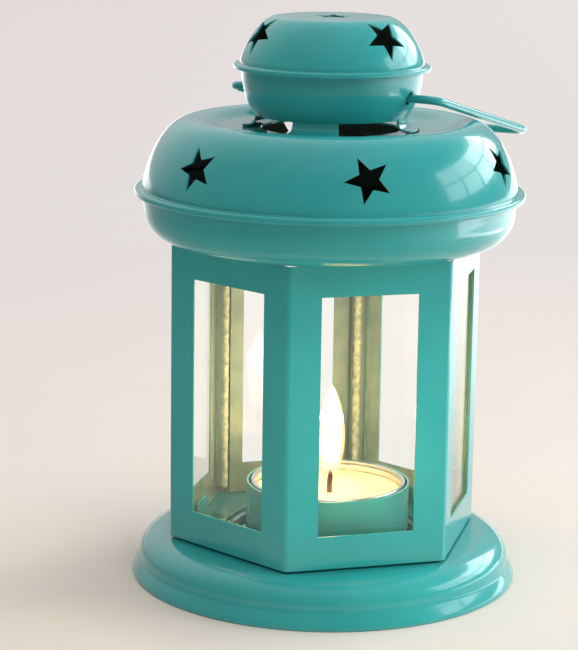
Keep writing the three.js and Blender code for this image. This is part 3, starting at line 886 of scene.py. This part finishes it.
def folded_body():
    """The hexagonal body: one folded sheet, with six windows punched out and tabs at its top."""
    apothem = shell.radius
    side = 2 * apothem * math.tan(HALF_SIDE)
    bottom = shell.bottom
    top = shell.top - TAB_RISE + BODY_STRETCH
    window = side / 2 - STILE
    low, high = bottom + SILL, shell.top - TAB_RISE - HEAD
    mesh = bmesh.new()
    bmesh.ops.create_grid(mesh, x_segments=1, y_segments=1, size=0.5)
    stand = Matrix.Rotation(math.radians(90), 4, "X")
    size = Matrix.Diagonal((side, 1, top - bottom, 1))
    move = Matrix.Translation((0, -apothem, (top + bottom) / 2))
    bmesh.ops.transform(mesh, verts=mesh.verts, matrix=move @ size @ stand)
    for x in (-window, window, -TAB_WIDTH / 2, TAB_WIDTH / 2):
        split(mesh, (x, 0, 0), (1, 0, 0))
    for z in (low, high):
        split(mesh, (0, 0, z), (0, 0, 1))
    inside = []
    for face in mesh.faces:
        centre = face.calc_center_median()
        if abs(centre.x) < window and low < centre.z < high:
            inside.append(face)
    bmesh.ops.delete(mesh, geom=inside, context="FACES")

    def in_tab(vert):
        return vert.co.z > top - 0.01 and abs(vert.co.x) < TAB_WIDTH / 2 + 0.01

    tab = [edge for edge in mesh.edges if all(map(in_tab, edge.verts))]
    raised = bmesh.ops.extrude_edge_only(mesh, edges=tab)["geom"]
    shift(mesh, only(BMVert, raised), (0, 0, shell.top - top))
    bmesh.ops.spin(
        mesh, geom=mesh.verts[:] + mesh.edges[:] + mesh.faces[:], cent=(0, 0, 0), axis=(0, 0, 1),
        angle=math.radians(300), steps=5, use_duplicate=True,
    )
    bmesh.ops.remove_doubles(mesh, verts=mesh.verts, dist=1e-3)
    corner = apothem / math.cos(HALF_SIDE) - 0.01
    folds = [e for e in mesh.edges if all(v.co.xy.length > corner for v in e.verts)]
    round_off(mesh, folds, CORNER_ROUNDING * math.tan(HALF_SIDE), 5)
    face_outwards(mesh)
    if sum(face.normal.xy.dot(face.calc_center_median().xy) for face in mesh.faces) < 0:
        bmesh.ops.reverse_faces(mesh, faces=mesh.faces)
    piece = object_of(mesh, "folded_body", [enamel, inner_enamel], shell.axis)
    thicken(piece)
    soften_edges(piece)
    ride(piece, "housing", ["body_shell"])


def floor_plate():
    """The housing's hexagonal bottom, with its round hole and the tabs that hold the panes."""
    apothem = plate.radius
    corner = apothem / math.cos(HALF_SIDE) - 0.25
    mesh = bmesh.new()
    bmesh.ops.create_circle(mesh, segments=SMALL_STEPS, radius=PLATE_HOLE_RADIUS)
    rim = bmesh.ops.extrude_edge_only(mesh, edges=mesh.edges[:])["geom"]
    for vert in only(BMVert, rim):
        angle = math.atan2(vert.co.y, vert.co.x)
        aside = (math.degrees(angle) + 120) % 60 - 30
        reach = min(apothem / math.cos(math.radians(aside)), corner)
        vert.co = (reach * math.cos(angle), reach * math.sin(angle), 0)
    top = plate.top - PLATE_TAB_RISE
    shift(mesh, mesh.verts, (0, 0, top))
    lower = bmesh.ops.extrude_face_region(mesh, geom=mesh.faces[:])["geom"]
    shift(mesh, only(BMVert, lower), (0, 0, -SHEET))
    face_outwards(mesh)
    tab_radius = PANE_INNER_FACE - SEAT_GAP - SHEET / 2
    for degrees in FACES:
        place = standing(tab_radius, top + PLATE_TAB_RISE / 2 - TAB_SINK, degrees)
        block(mesh, SHEET, TAB_WIDTH, PLATE_TAB_RISE, place)
    round_tabs(mesh, top + 2, PLATE_TAB_CORNER)
    piece = object_of(mesh, "floor_plate", [enamel], plate.axis)
    soften_edges(piece)
    ride(piece, "housing", ["bottom_plate"])


def window_panes():
    """Six panes of glass behind the windows, with ground edges."""
    height = pane.top - pane.bottom
    distance = PANE_INNER_FACE + GLASS / 2
    for number, degrees in enumerate(FACES, 1):
        mesh = bmesh.new()
        place = standing(distance, (pane.top + pane.bottom) / 2, degrees)
        block(mesh, GLASS, PANE_WIDTH, height, place)
        round_off(mesh, mesh.edges[:], PANE_CHAMFER, 2)
        mesh.normal_update()
        out = place.to_3x3() @ Vector((1, 0, 0))
        for face in mesh.faces:
            face.material_index = 0 if abs(face.normal.dot(out)) > 0.9 else 1
        piece = object_of(mesh, f"window_pane_{number}", [glass, glass_edge], shell.axis)
        ride(piece, "housing", [f"glass_pane_{number}"])


def sealant_beads():
    """A crinkled bead of sealant in each inner corner, squeezed out between two panes."""
    sine, cosine = math.sin(HALF_SIDE), math.cos(HALF_SIDE)
    across = PANE_WIDTH / 2

    def pane_edge(out):
        return at(across * sine + out * cosine, abs(across * cosine - out * sine + 0.4))

    inner, outer = pane_edge(PANE_INNER_FACE), pane_edge(PANE_INNER_FACE + GLASS)
    finish = sealant(inner.x - 0.1, inner.x - BEAD_NOSE - 0.1)
    nose = at(inner.x - BEAD_NOSE, 0.8)
    root = at(inner.x - 0.2, 1.1)
    back = at((shell.radius - SHEET) / cosine - 1.5, 0.9)
    side = [nose, root, inner, outer, back]
    outline = side + [at(point.x, -point.y) for point in reversed(side)]
    rise = (bead.top - bead.bottom) / BEAD_STEPS
    for number, degrees in enumerate(CORNERS, 1):
        mesh = bmesh.new()
        verts = [mesh.verts.new((point.x, point.y, bead.bottom)) for point in outline]
        face = [mesh.faces.new(verts)]
        for _ in range(BEAD_STEPS):
            made = bmesh.ops.extrude_face_region(mesh, geom=face)["geom"]
            shift(mesh, only(BMVert, made), (0, 0, rise))
            face = only(BMFace, made)
        face_outwards(mesh)
        random.seed(number)
        offset = Vector((random.uniform(0, 50), random.uniform(0, 50), 0))
        mesh.normal_update()
        for vert in mesh.verts:
            spot = vert.co + offset
            crinkle = noise.noise(spot * 0.55) + 0.6 * noise.noise(spot * 1.3)
            if bead.bottom + 0.1 < vert.co.z < bead.top - 0.1:
                vert.co += vert.normal * BEAD_CRINKLE * crinkle
        bmesh.ops.transform(mesh, verts=mesh.verts, matrix=turn_about_axis(degrees))
        piece = object_of(mesh, f"sealant_bead_{number}", [finish], shell.axis)
        rounding = piece.modifiers.new("rounding", "SUBSURF")
        rounding.levels = 1
        rounding.render_levels = 1
        settle(piece)
        smooth_curves(piece)
        ride(piece, "housing", [f"corner_bead_{number}"])


# Roof and chimney

def roof_dish():
    """The lower half of the roof, pressed up from the body's top to the seam."""
    floor = dish.bottom
    bend = quarter_turn(at(DISH_FLOOR_RADIUS, floor), at(DISH_RADIUS, floor + DISH_BEND_RISE))
    bend.reverse()
    rim = rounded([at(dish.radius, SEAM_HEIGHT), at(NECK_RADIUS, SEAM_HEIGHT), bend[0]], [0.3])
    line = [*rim[:-1], *bend, at(DISH_HOLE_RADIUS, floor)]
    piece = spun_sheet(line, "roof_dish_skin", [enamel, roof_inside_shade], dish.axis)
    slots = bmesh.new()
    for degrees in FACES:
        place = standing(shell.radius - SHEET / 2, floor, degrees)
        block(slots, SHEET + 2 * SEAT_GAP, TAB_WIDTH + 2 * SEAT_GAP, 4, place)
    cut(piece, slots, dish.axis)
    smooth_curves(piece)
    ride(piece, "housing", ["roof_dish"])


def star_punch(mesh, radius, place):
    """Adds a star-shaped punch along Z, one point towards +X."""
    made = bmesh.ops.create_circle(mesh, cap_ends=True, segments=10, radius=radius)["verts"]
    for number, vert in enumerate(made):
        angle = math.pi * number / 5
        reach = radius if number % 2 == 0 else radius * STAR_INNER
        vert.co = (reach * math.cos(angle), reach * math.sin(angle), -STAR_PUNCH / 2)
    face = list(made[0].link_faces)
    far = only(BMVert, bmesh.ops.extrude_face_region(mesh, geom=face)["geom"])
    shift(mesh, far, (0, 0, STAR_PUNCH))
    bmesh.ops.transform(mesh, verts=made + far, matrix=place)


def side_star(mesh, distance, height, tilt, degrees, roll):
    """A star punched from outside, its normal raised by the tilt."""
    face_out = turn_about_axis(90) @ Matrix.Rotation(math.pi / 2, 4, "X")
    turn = turn_about_axis(180 + roll)
    lean = Matrix.Rotation(-math.radians(tilt), 4, "Y")
    star_punch(mesh, STAR_RADIUS, standing(distance, height, degrees) @ lean @ face_out @ turn)


def hem_over_seam(wall_foot, top, lid, end, radii):
    """A lid's wall turned out at a height and folded down over the seam, to the lid's bottom."""
    out = [at(wall_foot.x, top), at(lid.radius, top), at(lid.radius, lid.bottom)]
    return rounded([wall_foot, *out, at(end, lid.bottom)], radii)


def roof_dome():
    """The upper half of the roof: a sunk top, a full shoulder, six stars and a hem."""
    crest = at(DOME_CREST_RADIUS, dome.top)
    floor = dome.top - RECESS_DEPTH
    dip = (DOME_CREST_RADIUS - RECESS_RADIUS) / 2
    inner = at(RECESS_RADIUS, floor)
    recess = bezier([inner, at(RECESS_RADIUS + dip, floor), crest - at(dip, 0), crest])
    side_foot = at(NECK_RADIUS, SEAM_TOP + 0.5)
    side_handle = side_foot + at(-DOME_SIDE_LEAN, DOME_HANDLE)
    shoulder = bezier([crest, crest + at(DOME_HANDLE, 0), side_handle, side_foot], 24)
    hem = hem_over_seam(side_foot, SEAM_TOP, dome, NECK_RADIUS + 0.6, [0.5, 0.75, 0.75])
    line = [at(VENT_RADIUS, floor), *recess, *shoulder, *hem]
    piece = spun_sheet(line, "roof_dome_skin", [enamel, roof_inside_shade], dome.axis)
    stars = bmesh.new()
    for degrees in ROOF_STAR_TURNS:
        side_star(
            stars, ROOF_STAR_DISTANCE, ROOF_STAR_HEIGHT, ROOF_STAR_TILT, degrees, ROOF_STAR_ROLL
        )
    cut(piece, stars, dome.axis)
    smooth_curves(piece)
    ride(piece, "housing", ["roof_dome"])


def chimney_bowl():
    """The collar of the chimney, cut away below into four legs with air slots between them."""
    foot_height = bowl.bottom + SHEET
    flare_top = at(BOWL_FOOT_RADIUS, foot_height + LEG_FLARE_RISE)
    belly = at((BOWL_RIM_RADIUS + BOWL_FOOT_RADIUS) / 2 + BOWL_BELLY, (BOWL_RIM + bowl.bottom) / 2)
    side = bezier([at(BOWL_RIM_RADIUS, BOWL_RIM - 0.5), belly, flare_top])
    rim = rounded([at(bowl.radius, BOWL_RIM), at(BOWL_RIM_RADIUS, BOWL_RIM), side[1]], [0.5])
    corner = at(BOWL_FOOT_RADIUS, foot_height)
    flare = bezier([flare_top, corner, corner + at(LEG_FLARE_OUT, 0)], 8)
    line = [*rim[:-1], *side[1:], *flare[1:], corner + at(LEG_FLANGE, 0)]
    start = LEG_TURN - LEG_ARC / 2
    mesh = turned(line, BOWL_STEPS, start)
    slot_top = bowl.bottom + SLOT_HEIGHT
    split(mesh, (0, 0, slot_top), (0, 0, 1))
    pitch = 360 / LEG_COUNT
    gone = []
    for face in mesh.faces:
        centre = face.calc_center_median()
        turn = (math.degrees(math.atan2(centre.y, centre.x)) - start) % pitch
        if centre.z < slot_top and turn > LEG_ARC:
            gone.append(face)
    bmesh.ops.delete(mesh, geom=gone, context="FACES")
    piece = object_of(mesh, "chimney_collar", [enamel, roof_inside_shade], bowl.axis)
    thicken(piece)
    along_wire = turn_about_axis(BAIL_TURN) @ Matrix.Rotation(math.pi / 2, 4, "Y")
    place = Matrix.Translation((0, 0, BAIL_PIVOT)) @ along_wire
    cut(piece, drill(WIRE_HOLE_RADIUS, 60, place), bowl.axis)
    smooth_curves(piece)
    ride(piece, "housing", ["chimney_bowl"])


def chimney_cap():
    """The lid of the chimney, with three stars round it and one on top."""
    crest = at(CAP_CREST_RADIUS, cap.top)
    side_foot = at(CAP_SIDE_RADIUS, CAP_FLANGE_TOP + 0.4)
    side_handle = side_foot + at(-CAP_SIDE_LEAN, CAP_SIDE_HANDLE)
    shoulder = bezier([crest, crest + at(CAP_TOP_HANDLE, 0), side_handle, side_foot], 20)
    hem = hem_over_seam(side_foot, CAP_FLANGE_TOP, cap, cap.radius - 0.6, [0.4, 0.6, 0.3])
    line = [at(0, cap.top), *shoulder, *hem]
    piece = spun_sheet(line, "chimney_cap", [enamel, roof_inside_shade], cap.axis)
    stars = bmesh.new()
    above = Matrix.Translation((0, 0, cap.top))
    star_punch(stars, CAP_TOP_STAR_RADIUS, above @ turn_about_axis(CAP_TOP_STAR_TURN))
    for degrees, roll in CAP_STARS:
        side_star(stars, CAP_STAR_DISTANCE, CAP_STAR_HEIGHT, CAP_STAR_TILT, degrees, roll)
    cut(piece, stars, cap.axis)
    smooth_curves(piece)
    ride(piece, "housing", ["cap_dome"])


def wire_bail():
    """The wire bail, hooked through the bowl, resting on the roof's shoulder."""
    right = [
        at(BAIL_END_RADIUS, BAIL_HOOK),
        at(BAIL_END_RADIUS, 0),
        at(BAIL_HALF_WIDTH, 0),
        at(BAIL_HALF_WIDTH, BAIL_REACH),
    ]
    points = right + [at(-point.x, point.y) for point in reversed(right)]
    line = spaced(rounded(points, BAIL_BENDS))
    droop = math.asin((BAIL_PIVOT - WIRE_RADIUS - bail.bottom) / BAIL_REACH)
    data = bpy.data.curves.new("wire", "CURVE")
    data.dimensions = "3D"
    data.bevel_depth = WIRE_RADIUS * MM
    data.bevel_resolution = 6
    data.use_fill_caps = True
    spline = data.splines.new("POLY")
    spline.points.add(len(line) - 1)
    lie = Matrix.Translation(bowl.axis + Vector((0, 0, BAIL_PIVOT)))
    lie = lie @ turn_about_axis(BAIL_TURN) @ Matrix.Rotation(-droop, 4, "X")
    for spot, point in zip(spline.points, line):
        spot.co = (*(lie @ Vector((point.x, point.y, 0)) * MM), 1)
    wire = in_scene("wire", data)
    graph = bpy.context.evaluated_depsgraph_get()
    mesh = bmesh.new()
    mesh.from_mesh(bpy.data.meshes.new_from_object(wire.evaluated_get(graph)))
    bpy.data.objects.remove(wire)
    bmesh.ops.remove_doubles(mesh, verts=mesh.verts, dist=1e-7)
    face_outwards(mesh)
    bmesh.ops.scale(mesh, verts=mesh.verts, vec=(1 / MM, 1 / MM, 1 / MM))
    piece = object_of(mesh, "wire_bail", [enamel], (0, 0, 0))
    smooth_curves(piece)
    ride(piece, "bail", ["bail"])


pressed_foot()
spring_tongues()
holder_cup()
tealight_foil()
melted_wax()
braided_wick()
flame()
folded_body()
floor_plate()
window_panes()
sealant_beads()
roof_dish()
roof_dome()
chimney_bowl()
chimney_cap()
wire_bail()

for kept in ("holder_rivet", "wick_sustainer"):
    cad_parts[kept].data.materials.clear()
    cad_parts[kept].data.materials.append(steel)


# Camera, as the photograph was taken

CAMERA_DISTANCE = 573.9
CAMERA_SIDE = -16.99
CAMERA_HEIGHT = 190.5
CAMERA_PITCH = 12.284
CAMERA_PAN = 0.948
CAMERA_ROLL = 0.878
CAMERA_SHIFT = 0.4
FOCAL_PIXELS = 2268
IMAGE_HEIGHT = 650
SENSOR = 36


def photo_camera():
    data = bpy.data.cameras.new("camera")
    data.sensor_fit = "AUTO"
    data.sensor_width = SENSOR
    data.lens = FOCAL_PIXELS / IMAGE_HEIGHT * SENSOR
    data.clip_start = 0.01
    data.clip_end = 50
    camera = in_scene("camera", data)
    spot = turn_about_axis(CAMERA_SIDE) @ Vector((-CAMERA_SHIFT, -CAMERA_DISTANCE, CAMERA_HEIGHT))
    heading = turn_about_axis(CAMERA_SIDE + CAMERA_PAN)
    pitch = Matrix.Rotation(math.radians(90 - CAMERA_PITCH), 4, "X")
    roll = turn_about_axis(CAMERA_ROLL)
    camera.matrix_world = Matrix.Translation((spot + foot.axis) * MM) @ heading @ pitch @ roll
    bpy.context.scene.camera = camera


# Light: a divided window on the right, a soft room above and in front, and the flame

LAMP_CENTRE = Vector((0, 0, 0.08))
BODY_CENTRE = Vector((0, 0, 0.044))
FLAME_WATTS = 0.045
BACKDROP_LEFT = (0.753, 0.701, 0.701)
BACKDROP_RIGHT = (0.815, 0.776, 0.745)
BACKDROP_THROUGH_GLASS = 1.26
FLOOR_SPAN = 0.4


def soft_lamp(
    name, azimuth, elevation, distance, width, height, radiance, colour, centre=LAMP_CENTRE
):
    """A soft rectangle of light that looks at the lantern from a direction."""
    data = bpy.data.lights.new(name, "AREA")
    data.shape = "RECTANGLE"
    data.size = width
    data.size_y = height
    data.energy = math.pi * width * height * radiance
    data.color = colour
    lamp = in_scene(name, data)
    a, e = math.radians(azimuth), math.radians(elevation)
    out = Vector((math.cos(a) * math.cos(e), math.sin(a) * math.cos(e), math.sin(e)))
    lamp.location = centre + out * distance
    lamp.rotation_mode = "QUATERNION"
    lamp.rotation_quaternion = out.to_track_quat("Z", "Y")
    lamp.visible_camera = False
    return lamp


def window_lamps():
    """A window of panes between bars: the azimuth, width and radiance of each column of panes."""
    columns = ((-23.4, 0.28, 2.8), (-6.1, 0.28, 3.2), (11.1, 0.28, 5.0), (31.5, 0.42, 4.8))
    rows = (17.5, 28.5)
    for column, (azimuth, width, radiance) in enumerate(columns):
        for row, elevation in enumerate(rows):
            name = f"window_{column}_{row}"
            soft_lamp(name, azimuth, elevation, 1.1, width, 0.19, radiance, (0.90, 0.98, 1.0))


def room_lamps():
    """The rest of the room: soft light that leaves no shapes of its own in the enamel."""
    front = soft_lamp("room_front", -100, 64, 1.4, 1.3, 0.9, 1.75, (0.98, 1.0, 1.0))
    above = soft_lamp("room_above", 60, 80, 1.5, 1.5, 1.5, 1.1, (1.0, 0.99, 0.98))
    right = soft_lamp("room_right", -14, 18, 1.2, 1.0, 0.6, 3.8, (0.88, 0.97, 1.0))
    low = soft_lamp("room_low", -86, 0, 0.26, 0.06, 0.06, 0.9, (1.0, 0.98, 0.76), BODY_CENTRE)
    low.data.spread = math.radians(28)
    soft_lamp("table_patch", -3, -14, 0.26, 0.24, 0.02, 3.5, (0.92, 0.98, 1.0))
    for lamp in (front, above, right, low):
        lamp.visible_glossy = False


def flame_lamp():
    """The flame's own light."""
    data = bpy.data.lights.new("flame_light", "POINT")
    data.energy = FLAME_WATTS
    data.color = (1.0, 0.78, 0.45)
    data.shadow_soft_size = 0.003
    lamp = in_scene("flame_light", data)
    lamp.location = (holder.axis + Vector((0, -WICK_LEAN, (FLAME_BASE + 2 * FLAME_TOP) / 3))) * MM
    lamp.visible_glossy = False
    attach(lamp, "tealight")


def floor_glow(finish, direction, stops):
    """An emission whose colour changes along a direction over the floor."""
    along = finish.vector("DOT_PRODUCT", finish.place, direction)
    share = finish.spread(along, -FLOOR_SPAN, FLOOR_SPAN, 0, 1)
    made = finish.node("ShaderNodeEmission")
    finish.join(finish.colours(share, stops), made.inputs["Color"])
    return made


def floor():
    """A pale floor that goes over into a pale backdrop all round the lantern."""
    finish = Finish("pale_floor")
    finish.paint(finish.noise(90), [(0.3, 0.81, 0.725, 0.655), (0.7, 0.83, 0.745, 0.675)])
    finish.set(Roughness=0.6, Specular_IOR_Level=0.2)
    path = finish.node("ShaderNodeLightPath").outputs
    through, mirrored = path["Is Transmission Ray"], path["Is Glossy Ray"]
    right = turn_about_axis(CAMERA_SIDE).to_3x3() @ Vector((1, 0, 0))
    backdrop = floor_glow(finish, right, [(0.0, *BACKDROP_LEFT), (1.0, *BACKDROP_RIGHT)])
    strength = finish.spread(through, 0, 1, 1, BACKDROP_THROUGH_GLASS)
    finish.join(strength, backdrop.inputs["Strength"])
    dim, mid = (0.0, 0.12, 0.12, 0.12), (0.45, 0.34, 0.34, 0.34)
    pale, bright = (0.7, 1.0, 1.0, 1.0), (1.0, 2.0, 2.1, 2.1)
    room = floor_glow(finish, (0.9, 0.44, 0), [dim, mid, pale, bright])
    length = finish.vector("LENGTH", finish.place)
    far = finish.maths("MAXIMUM", finish.spread(length, 0.09, 0.5, 0, 1), through)
    seen = finish.mixed(far, finish.surface.outputs["BSDF"], backdrop.outputs["Emission"])
    reflected = finish.maths("SUBTRACT", mirrored, through)
    reflected = finish.maths("MULTIPLY", reflected, finish.spread(length, 0.05, 0.11, 0, 1))
    whole = finish.mixed(reflected, seen, room.outputs["Emission"])
    finish.join(whole, finish.output.inputs["Surface"])
    mesh = bmesh.new()
    bmesh.ops.create_grid(mesh, x_segments=1, y_segments=1, size=6 / MM)
    made = object_of(mesh, "floor", [finish.material], (0, 0, 0))


class Surroundings(Finish):
    """The world's nodes, whose patterns follow the direction that a ray leaves in."""

    def __init__(self, name):
        world = bpy.data.worlds.new(name)
        bpy.context.scene.world = world
        world.use_nodes = True
        self.tree = world.node_tree
        self.tree.nodes.clear()
        self.output = self.node("ShaderNodeOutputWorld")
        self.place = self.node("ShaderNodeTexCoord").outputs["Generated"]

    def background(self, colour=(1, 1, 1, 1), strength=1.0):
        made = self.node("ShaderNodeBackground")
        made.inputs["Color"].default_value = colour
        made.inputs["Strength"].default_value = strength
        return made


def surroundings():
    """A pale room: its soft light, what enamel and metal mirror of it, and the backdrop."""
    world = Surroundings("room")
    light = world.background((1.0, 0.98, 0.97, 1), 0.30)
    backdrop = world.background((*BACKDROP_RIGHT, 1))
    room = world.background()
    up = world.vector("DOT_PRODUCT", world.place, (-0.15, 0.70, 0.70))
    dark, mid, pale = (0.0, 0.15, 0.15, 0.15), (0.6, 0.36, 0.36, 0.36), (1.0, 0.98, 0.98, 0.98)
    world.join(world.colours(up, [dark, mid, pale]), room.inputs["Color"])
    path = world.node("ShaderNodeLightPath").outputs
    glossy = path["Is Glossy Ray"]
    lit = world.mixed(glossy, light.outputs["Background"], room.outputs["Background"])
    seen = world.maths("MAXIMUM", path["Is Camera Ray"], path["Is Transmission Ray"])
    whole = world.mixed(seen, lit, backdrop.outputs["Background"])
    world.join(whole, world.output.inputs["Surface"])


photo_camera()
window_lamps()
room_lamps()
flame_lamp()
floor()
surroundings()
bpy.context.scene.view_settings.view_transform = "Standard"
